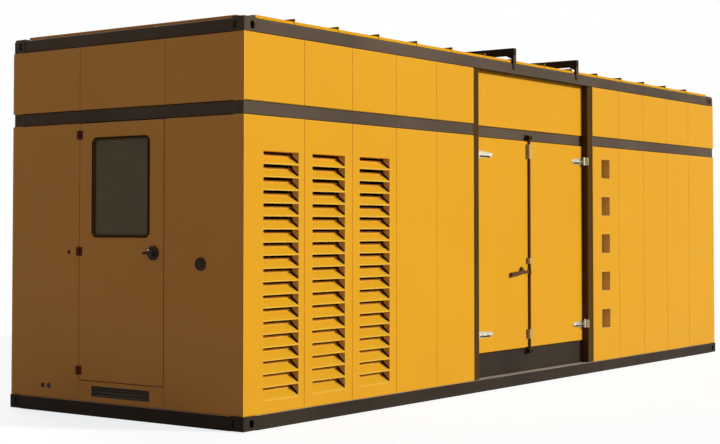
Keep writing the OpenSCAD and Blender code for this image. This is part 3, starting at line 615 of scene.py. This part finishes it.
# The entry end's walls take the duller, bluer yellow of painted shade.
for wall in ("entry_walls", "entry_sill", "entry_upper_wall"):
    finished(wall, WALL_EDGE, (SHADED_END_YELLOW, LINING), choose=towards_room, edge=SHADED_END_YELLOW,
             cuts=OPENING_CUTS.get(wall, ()))
finished("far_end_walls", WALL_EDGE, (YELLOW, LINING), choose=towards_room, edge=HIGHLIGHT_YELLOW)
finished("over_door_panel", 0.0025, (YELLOW, LINING),
         choose=lambda f: 1 if f.normal.y > FLAT else 0)
ROOF_PAINTS = (ROOF_YELLOW, LINING, SHADED_SEAM_BROWN, SHADED_END_YELLOW)
finished("roof_deck", 0.008, ROOF_PAINTS, 3, choose=roof_face)
finished("roof_ribs", 0.003, ROOF_PAINTS, choose=roof_face)
# The louvre banks in lighter paints, painted light against their shade, with a painted highlight
# on the lips.
finished("louvre_banks", 0.0007, (LIGHTENED_BLADE_YELLOW, LIGHTENED_RECESS_YELLOW, HIGHLIGHT_YELLOW), choose=bank_face)
# The step pockets in a paler paint, painted light against their deep shade.
finished("foot_pockets", 0.001, (LIGHTENED_RECESS_YELLOW,))

# ------------------------------------------------------------------ frame

for rail, width in (("top_castings", 0.004), ("top_rails", 0.004), ("mid_side_rails", 0.004),
                    ("mid_end_rails", 0.004), ("door_header", 0.003)):
    finished(rail, width, (RAIL_BLACK,), edge=WORN_HIGHLIGHT_BLACK)
# The bottom castings, sill, joists and keepers in the darker black of painted shade.
for rail, width in (("bottom_castings", 0.004), ("door_sill", 0.003), ("floor_joists", 0.003),
                    ("lock_keepers", 0.0015)):
    finished(rail, width, (SHADED_BASE_BLACK,))
finished("sill_vent", 0.0008, (VENT_BLACK,))
# The base rails in the darker black of painted shade, their top faces in pale dust and a painted
# highlight.
finished("base_rails", 0.004, (SHADED_BASE_BLACK, LEDGE_DUST_AND_HIGHLIGHT),
         choose=lambda f: 1 if f.normal.z > FLAT else 0)
# The door posts and stops in a browner, darker black: painted shade.
finished("door_posts", 0.004, (SHADED_POST_BLACK,))
finished("door_stops", 0.002, (SHADED_POST_BLACK,))
# The bridges in the darker black of painted shade; the legs' fronts and backs stay in the plain
# frame black.
finished("bridge_beams", 0.004, (SHADED_BASE_BLACK,))
finished("bridge_legs", 0.003, (SHADED_BASE_BLACK, RAIL_BLACK),
         choose=lambda f: 1 if abs(f.normal.y) > FLAT else 0)
finished("floor_deck", 0.001, (PLATE,))

# ------------------------------------------------------------------ doors and their fittings

for leaf in ("left_door", "right_door"):
    finished(leaf, 0.0025, (YELLOW, LINING, RUBBER), choose=leaf_face)
# The entry door takes the duller, bluer yellow of painted shade.
finished("entry_door", 0.0025, (SHADED_END_YELLOW, LINING),
         choose=lambda f: 1 if f.normal.x > FLAT else 0, cuts=middles("entry_window", 1))
finished("strap_brackets", 0.0015, (ZINC,))
finished("left_straps", 0.0015, (ZINC,))
finished("right_straps", 0.0015, (ZINC,))
finished("rod_guides", 0.003, (DULL_ZINC,))
finished("entry_hinge_plates", 0.001, (HINGE_BROWN,))
finished("entry_door_hinges", 0.001, (HINGE_BROWN,))
finished("wall_caps", 0.001, (PLASTIC,))
finished("entry_handle", 0.003, (PLASTIC,), 3)
finished("entry_window", 0.001, (GLASS,))

HALF_SEAL = 0.011
SEAL_LOW, SEAL_HIGH = (corner + sign * Vector((0, HALF_SEAL, HALF_SEAL)) for corner, sign
                       in zip(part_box("entry_window_seal"), (1, -1)))


def seal_face(f):
    """1 for the window seal's paler inner lip and 0 for its outer half."""
    c = f.calc_center_median()
    return 1 if SEAL_LOW.y < c.y < SEAL_HIGH.y and SEAL_LOW.z < c.z < SEAL_HIGH.z else 0


finished("entry_window_seal", 0.003, (RUBBER, SEAL_LIP), choose=seal_face,
         cuts=[(corner, axis) for corner in (SEAL_LOW, SEAL_HIGH)
               for axis in (Vector((0, 1, 0)), Vector((0, 0, 1)))])
finished("lock_rod", 0.0015, (ROD_BROWN,))
finished("lock_handle", 0.0012, (HANDLE_BROWN,), 3)


def strap_bolts(straps, step):
    """Round heads along a leaf's straps, the way that step goes from the pin."""
    pin_in, long_strap, plate = 0.013, 0.25, 0.006
    bolts = bmesh.new()
    for low, high in solids(straps):
        pin = low.x + pin_in if step > 0 else high.x - pin_in
        reach = high.x - low.x
        for share in ((0.26, 0.52, 0.80) if reach > long_strap else (0.38, 0.76)):
            centre = (pin + step * share * reach, high.y - plate, (low.z + high.z) / 2)
            add(bolts, dome_bolt(0.009, 0.0055), aimed(centre, FRONTWARD))
    piece(straps + "_bolts", bolts, BODY_OF[straps], (BRIGHT_ZINC,))


def strap_painted_shadows(straps, step):
    """Long dark strips along the straps below their raised rib: the rib's shadow, painted on."""
    near, far = 0.30, 0.86
    top, foot = 0.0105, 0.0215
    front, back = 0.0070, 0.005
    painted_shadows = bmesh.new()
    for low, high in solids(straps):
        pin = low.x if step > 0 else high.x
        reach = high.x - low.x
        xs = sorted((pin + step * near * reach, pin + step * far * reach))
        mid = (low.z + high.z) / 2
        add(painted_shadows, box((xs[0], high.y - front, mid - foot), (xs[1], high.y - back, mid - top)))
    soften(piece(straps + "_slots", painted_shadows, BODY_OF[straps], (RUBBER,)), 0.0006)


def bracket_plates():
    """Base plates of the straps' brackets on the side of the right post, with a bolt each."""
    thick, reach, lap, margin = 0.004, 0.022, 0.002, 0.004
    plates, bolts = bmesh.new(), bmesh.new()
    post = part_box("right_door")[1].x
    for low, high in solids("strap_brackets"):
        if low.x > post - 0.1:
            face = high.x - thick
            ys = (low.y - reach, low.y + lap)
            add(plates, box((face, ys[0], low.z + margin), (high.x, ys[1], high.z - margin)))
            add(bolts, dome_bolt(0.006, 0.004),
                aimed((face, sum(ys) / 2, (low.z + high.z) / 2), ENTRYWARD))
    soften(piece("bracket_plates", plates, "enclosure", (BRIGHT_ZINC,)), 0.0008)
    piece("bracket_bolts", bolts, "enclosure", (ZINC,))


def bridge_bolts():
    """Two hexagon heads at the foot of each bridge leg, in the darker black of painted shade."""
    sunk = 0.003
    bolts = bmesh.new()
    for low, high in solids("bridge_legs"):
        out = -1 if low.y < 0 else 1
        face = (low.y if out < 0 else high.y) - out * sunk
        for up in (0.016, 0.04):
            add(bolts, hex_bolt(0.016, 0.004),
                aimed(((low.x + high.x) / 2, face, low.z + up), (0, out, 0)))
    piece("bridge_bolts", bolts, "enclosure", (SHADED_BASE_BLACK,))


def hinge_screws(hinges):
    """Three round screws in each leaf of the entry door's hinges."""
    screws = bmesh.new()
    for low, high in faces_towards(hinges, ENTRYWARD, least=0.0008):
        for share in (0.2, 0.5, 0.8):
            centre = (low.x, (low.y + high.y) / 2, low.z + share * (high.z - low.z))
            add(screws, dome_bolt(0.0042, 0.002), aimed(centre, ENTRYWARD))
    piece(hinges + "_screws", screws, BODY_OF[hinges], (HINGE_BROWN,))


def window_bead():
    """The locking strip pressed into the window's rubber profile."""
    loop = upright_loop(SEAL_LOW.x + 0.0005, SEAL_LOW, SEAL_HIGH, 0.035)
    piece("window_bead", tube(loop, 0.002, closed=True), "entry_door", (RUBBER,))


def stop_seals():
    """Rubber bulbs on the stops that the doors close against, short of the closed doors."""
    share, from_end = 0.42, 0.012
    seals = bmesh.new()
    end_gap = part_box("door_stops")[0].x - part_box("entry_door")[1].x
    bay_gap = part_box("door_stops")[0].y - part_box("left_door")[1].y
    for low, high in solids("door_stops"):
        mid = (low + high) / 2
        at_end = low.x < INNER_ENTRY
        radius = share * (end_gap if at_end else bay_gap)
        if at_end:
            mid.x = low.x - radius
        else:
            mid.y = low.y - radius
        span = high - low
        along = max(range(3), key=lambda i: span[i])
        ends = [mid.copy(), mid.copy()]
        ends[0][along] = low[along] + from_end
        ends[1][along] = high[along] - from_end
        add(seals, tube(ends, radius))
    piece("stop_seals", seals, "enclosure", (RUBBER,))


def blade_fittings():
    """Folded back edges on the louvre blades, and dark seals at the blades' ends, also the jambs'
    shadow painted on.
    """
    blades, lip, rise, depth, sheet = 19, 0.009, 0.068, 0.075, 0.002
    fold, fold_thick, margin = 0.007, 0.0016, 0.002
    half_strip, strip_in, strip_tall, strip_back = 0.0035, 0.0055, 0.011, 0.012
    post_wide, post_deep, post_margin = 0.008, 0.016, 0.004
    slope = math.atan2(rise - lip, depth)
    half = math.hypot(rise - lip, depth) / 2
    seals, returns = bmesh.new(), bmesh.new()
    for low, high in BANKS:
        inward = 1 if low.y < 0 else -1
        face = low.y if inward > 0 else high.y
        back = face + inward * (depth + sheet)
        pitch = (high.z - low.z) / blades
        turn = Matrix.Rotation(slope * inward, 4, "X")
        ends = sorted((-inward * (half - strip_back), inward * half))
        for row in range(blades):
            base = low.z + row * pitch
            ys = sorted((back, back - inward * fold_thick))
            add(returns, box((low.x + margin, ys[0], base + rise - margin),
                             (high.x - margin, ys[1], base + rise + fold)))
            for x in (low.x + strip_in, high.x - strip_in):
                spot = Matrix.Translation((x, face + inward * (depth / 2 + sheet),
                                           base + (rise + lip) / 2))
                add(seals, box((-half_strip, ends[0], 0), (half_strip, ends[1], strip_tall)),
                    spot @ turn)
        for x0, x1 in ((low.x, low.x + post_wide), (high.x - post_wide, high.x)):
            ys = sorted((back, back - inward * post_deep))
            add(seals, box((x0, ys[0], low.z + post_margin), (x1, ys[1], high.z - post_margin)))
    piece("blade_end_seals_and_shadow", seals, "enclosure", (RUBBER,))
    # The returns take the blades' lighter yellow, painted light.
    piece("blade_returns", returns, "enclosure", (LIGHTENED_BLADE_YELLOW,))


def door_stay_stud():
    """A small knob on the end wall that holds the open door's stay."""
    beyond_hinge = 0.081
    low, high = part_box("entry_handle")
    spot = (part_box("entry_walls")[0].x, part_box("entry_hinge_plates")[1].y + beyond_hinge,
            (low.z + high.z) / 2)
    knob = turned([(0, 0), (0.015, 0), (0.015, 0.002), (0.007, 0.003), (0.006, 0.006),
                   (0.010, 0.0075), (0.009, 0.010), (0, 0.0105)], 20)
    stud = bmesh.new()
    add(stud, knob, aimed(spot, ENTRYWARD))
    piece("door_stay_stud", stud, "enclosure", (HINGE_BROWN,))


def keeper_bolts():
    """A round head on each wing of the lock keepers."""
    plate, wing = 0.006, 0.0075
    bolts = bmesh.new()
    for low, high in solids("lock_keepers"):
        for x in (low.x + wing, high.x - wing):
            centre = (x, high.y - plate, (low.z + high.z) / 2)
            add(bolts, dome_bolt(0.005, 0.003), aimed(centre, FRONTWARD))
    piece("keeper_bolts", bolts, "enclosure", (RAIL_BLACK,))


def guide_bolts():
    """Round heads on the faces of the rod guides, two on a tall one."""
    tall = 0.07
    bolts = bmesh.new()
    for low, high in solids("rod_guides"):
        for share in ((0.2, 0.8) if high.z - low.z > tall else (0.5,)):
            centre = ((low.x + high.x) / 2, low.y, low.z + share * (high.z - low.z))
            add(bolts, dome_bolt(0.0065, 0.004), aimed(centre, FRONTWARD))
    piece("guide_bolts", bolts, BODY_OF["rod_guides"], (DULL_ZINC,))


def handle_key():
    """The bright key plug in the rose of the turning handle."""
    aside, above = 0.72, 0.42
    low, high = max(faces_towards("entry_handle", ENTRYWARD, least=0.0002),
                    key=lambda face: (face[1] - face[0]).length)
    mid = (low + high) / 2
    reach = (high.y - low.y) / 2
    plug = bmesh.new()
    add(plug, dome_bolt(0.0065, 0.004),
        aimed((low.x, mid.y + aside * reach, mid.z + above * reach), ENTRYWARD))
    piece("handle_key", plug, BODY_OF["entry_handle"], (BRIGHT_ZINC,))


def corner_plates():
    """Black plates that guard the roof's corners behind the top castings, in the darker black of
    painted shade.
    """
    near, far, sunk, proud = 0.012, 0.23, 0.001, 0.003
    plates = bmesh.new()
    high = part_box("roof_deck")[1]
    for sx in (-1, 1):
        for sy in (-1, 1):
            xs = sorted((sx * (high.x - near), sx * (high.x - far)))
            ys = sorted((sy * (high.y - near), sy * (high.y - far)))
            add(plates, box((xs[0], ys[0], high.z - sunk), (xs[1], ys[1], high.z + proud)))
    soften(piece("corner_plates", plates, "enclosure", (SHADED_BASE_BLACK,)), 0.0012)


def casting_pads():
    """The raised tops of the top castings, with the castings' own apertures."""
    proud = 0.013
    bm = merged("top_castings")
    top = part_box("top_castings")[1].z
    bmesh.ops.delete(bm, geom=[f for f in bm.faces if f.normal.z < FLAT
                               or f.calc_center_median().z < top - TINY], context="FACES")
    for part in bmesh.ops.extrude_face_region(bm, geom=bm.faces[:])["geom"]:
        if isinstance(part, bmesh.types.BMVert):
            part.co.z += proud
    bmesh.ops.recalc_face_normals(bm, faces=bm.faces[:])
    soften(piece("casting_pads", bm, "enclosure", (RAIL_BLACK,)), 0.0015)


def casting_webs():
    """Crossed webs inside the castings, one close behind the aperture in the end."""
    wall, half, behind = 0.010, 0.003, 0.020
    webs = bmesh.new()
    for name in ("top_castings", "bottom_castings"):
        for low, high in solids(name):
            y = (low.y + high.y) / 2
            x = low.x + behind if low.x < 0 else high.x - behind
            add(webs, box((x - half, low.y + wall, low.z + wall),
                          (x + half, high.y - wall, high.z - wall)))
            add(webs, box((low.x + wall, y - half, low.z + wall),
                          (high.x - wall, y + half, high.z - wall)))
    piece("casting_webs", webs, "enclosure", (RAIL_BLACK,))


def corner_hems():
    """The folded hems of the panels at the building's upright corners, in a paler paint: a painted
    highlight along the corners.
    """
    wide, thick, sunk, margin = 0.006, 0.0010, 0.0002, 0.001
    hems = bmesh.new()
    for name in ("front_lower_walls", "front_upper_walls", "back_lower_walls",
                 "back_upper_walls"):
        low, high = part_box(name)
        ys = (low.y - thick, low.y + sunk) if high.y < 0 else (high.y - sunk, high.y + thick)
        for x0, x1 in ((low.x, low.x + wide), (high.x - wide, high.x)):
            add(hems, box((x0, ys[0], low.z + margin), (x1, ys[1], high.z - margin)))
    piece("corner_hems", hems, "enclosure", (HIGHLIGHT_YELLOW,))


def rail_sealant_and_shadow():
    """Dark sealant in the step between the rails and the panels, which stand proud of them; the
    bead is also the step's shadow, painted on.
    """
    beads = bmesh.new()
    for name in ("mid_side_rails", "mid_end_rails", "top_rails"):
        for low, high in solids(name):
            along = 0 if high.x - low.x > high.y - low.y else 1
            across = 1 - along
            out = low[across] if low[across] < 0 else high[across]
            for z in ((low.z,) if name == "top_rails" else (low.z, high.z)):
                ends = []
                for reach in (low[along], high[along]):
                    end = Vector((out, out, z))
                    end[along] = reach
                    ends.append(end)
                add(beads, tube(ends, 0.003))
    piece("rail_sealant_and_shadow", beads, "enclosure", (RUBBER,))


def deck_sealant_and_shadow():
    """Dark sealant between the roof deck and the rails along the long sides, also the shadow line
    under the deck, painted on.
    """
    proud, up = 0.0005, 0.003
    bead = bmesh.new()
    low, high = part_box("roof_deck")
    for y in (low.y - proud, high.y + proud):
        add(bead, tube(((low.x, y, low.z + up), (high.x, y, low.z + up)), 0.0035))
    piece("deck_sealant_and_shadow", bead, "enclosure", (RUBBER,))


def weld_beads():
    """Fillet welds where the rails meet the castings and the door posts."""
    sunk, margin, casting_long, bay_within = 0.001, 0.004, 0.142, 2
    beads = bmesh.new()
    rail_low, rail_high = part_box("top_rails")
    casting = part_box("top_castings")[1].x - casting_long
    upright = [(sx * casting, sy * rail_high.y, rail_low.z, rail_high.z)
               for sx in (-1, 1) for sy in (-1, 1)]
    for low, high in solids("mid_side_rails"):
        y = low.y if low.y < 0 else high.y
        upright += [(x, y, low.z, high.z) for x in (low.x, high.x) if abs(x) < bay_within]
    for x, y, z0, z1 in upright:
        y -= sunk if y > 0 else -sunk
        add(beads, tube(((x, y, z0 + margin), (x, y, z1 - margin)), 0.0035))
    piece("weld_beads", beads, "enclosure", (RAIL_BLACK,))


def lining_strips():
    """Folded cover strips over the joints of the lining, screwed on."""
    half, thick, pitch, margin = 0.022, 0.003, 0.587, 0.01
    first, last, screws, from_end = 0.6, 0.3, 6, 0.15
    strips = bmesh.new()
    low_z, high_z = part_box("floor_deck")[1].z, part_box("mid_side_rails")[0].z
    bay = (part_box("door_posts")[0].x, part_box("door_posts")[1].x)
    for y, inward in ((INNER_FRONT, 1), (INNER_BACK, -1)):
        x = INNER_ENTRY + first
        while x < INNER_FAR - last:
            in_bay = inward > 0 and bay[0] - half < x < bay[1] + half
            if not in_bay and not any(low.x - half < x < high.x + half for low, high in BANKS):
                ys = sorted((y, y + inward * thick))
                add(strips, box((x - half, ys[0], low_z + margin),
                                (x + half, ys[1], high_z - margin)))
                for step in range(screws):
                    z = low_z + from_end + step * (high_z - low_z - 2 * from_end) / (screws - 1)
                    add(strips, dome_bolt(0.005, 0.003),
                        aimed((x, y + inward * thick, z), (0, inward, 0)))
            x += pitch
    soften(piece("lining_strips", strips, "enclosure", (ZINC,)), 0.0008)


strap_painted_shadows("left_straps", 1)
strap_painted_shadows("right_straps", -1)
bracket_plates()
strap_bolts("left_straps", 1)
strap_bolts("right_straps", -1)
bridge_bolts()
hinge_screws("entry_hinge_plates")
hinge_screws("entry_door_hinges")
window_bead()
stop_seals()
blade_fittings()
door_stay_stud()
keeper_bolts()
guide_bolts()
handle_key()
corner_plates()
casting_pads()
casting_webs()
corner_hems()
rail_sealant_and_shadow()
deck_sealant_and_shadow()
weld_beads()
lining_strips()

# ------------------------------------------------------------------ camera, light and floor


def sun(name, towards_light, strength, spread, colour):
    """A sun of some degrees across, in a direction."""
    light = bpy.data.lights.new(name, "SUN")
    light.energy = strength
    light.angle = math.radians(spread)
    light.color = colour
    obj = bpy.data.objects.new(name, light)
    obj.rotation_mode = "QUATERNION"
    obj.rotation_quaternion = Vector(towards_light).to_track_quat("Z", "Y")
    bpy.context.scene.collection.objects.link(obj)


def seen_directly(tree):
    """1 for rays from the camera and those mirrored or bent on the way, 0 for soft light."""
    path = node(tree, "ShaderNodeLightPath")
    seen = math_node(tree, "MAXIMUM", path.outputs["Is Camera Ray"],
                     path.outputs["Is Glossy Ray"])
    return math_node(tree, "MAXIMUM", seen, path.outputs["Is Transmission Ray"])


sun("key", (0.40, -0.80, 0.32), strength=3.0, spread=9, colour=(1.0, 0.985, 0.95))
sun("back_fill", (0.45, 0.80, 0.45), strength=1.5, spread=30, colour=(1.0, 0.99, 0.97))

world = bpy.data.worlds.new("studio")
bpy.context.scene.world = world
world.use_nodes = True
tree = world.node_tree
tree.nodes.clear()
room = node(tree, "ShaderNodeBackground", {"Color": rgb(0.185, 0.163, 0.160), "Strength": 1.0})
white = node(tree, "ShaderNodeBackground", {"Color": rgb(1, 1, 1), "Strength": 1.0})
blend = node(tree, "ShaderNodeMixShader", {0: seen_directly(tree), 1: room.outputs[0],
                                          2: white.outputs[0]})
node(tree, "ShaderNodeOutputWorld", {"Surface": blend.outputs[0]})


def pale_floor():
    """A pale ground that looks white where it is lit and keeps the shadow."""
    mat = bpy.data.materials.new("pale_floor")
    mat.use_nodes = True
    tree = mat.node_tree
    tree.nodes.clear()
    body = node(tree, "ShaderNodeBsdfDiffuse", {"Color": rgb(0.34, 0.335, 0.325)})
    strength = math_node(tree, "MULTIPLY", seen_directly(tree), 0.82)
    glow = node(tree, "ShaderNodeEmission", {"Color": rgb(0.955, 0.985, 1), "Strength": strength})
    both = node(tree, "ShaderNodeAddShader", {0: body.outputs[0], 1: glow.outputs[0]})
    node(tree, "ShaderNodeOutputMaterial", {"Surface": both.outputs[0]})
    return mat


FLOOR_HALF, FLOOR_BELOW = 120, 0.0006
ground = bmesh.new()
bmesh.ops.create_grid(ground, x_segments=1, y_segments=1, size=FLOOR_HALF)
bmesh.ops.translate(ground, vec=(0, 0, -FLOOR_BELOW), verts=ground.verts)
mesh = bpy.data.meshes.new("floor")
ground.to_mesh(mesh)
ground.free()
mesh.materials.append(pale_floor())
floor = bpy.data.objects.new("floor", mesh)
bpy.context.scene.collection.objects.link(floor)

FROM_NEAR_CORNER = Vector((-7.7409, -6.7152, 1.4297))
LENS, SENSOR, SHIFT = 73.45, 36, -0.063
TILT, TURN = 0.0337, -0.9352
camera = bpy.data.cameras.new("camera")
camera.lens = LENS
camera.sensor_width = SENSOR
camera.shift_y = SHIFT
camera.clip_end = 500
viewer = bpy.data.objects.new("camera", camera)
viewer.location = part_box("base_rails")[0] + FROM_NEAR_CORNER
viewer.rotation_euler = (math.pi / 2 + TILT, 0, TURN)
bpy.context.scene.collection.objects.link(viewer)
bpy.context.scene.camera = viewer
bpy.context.scene.view_settings.view_transform = "Standard"
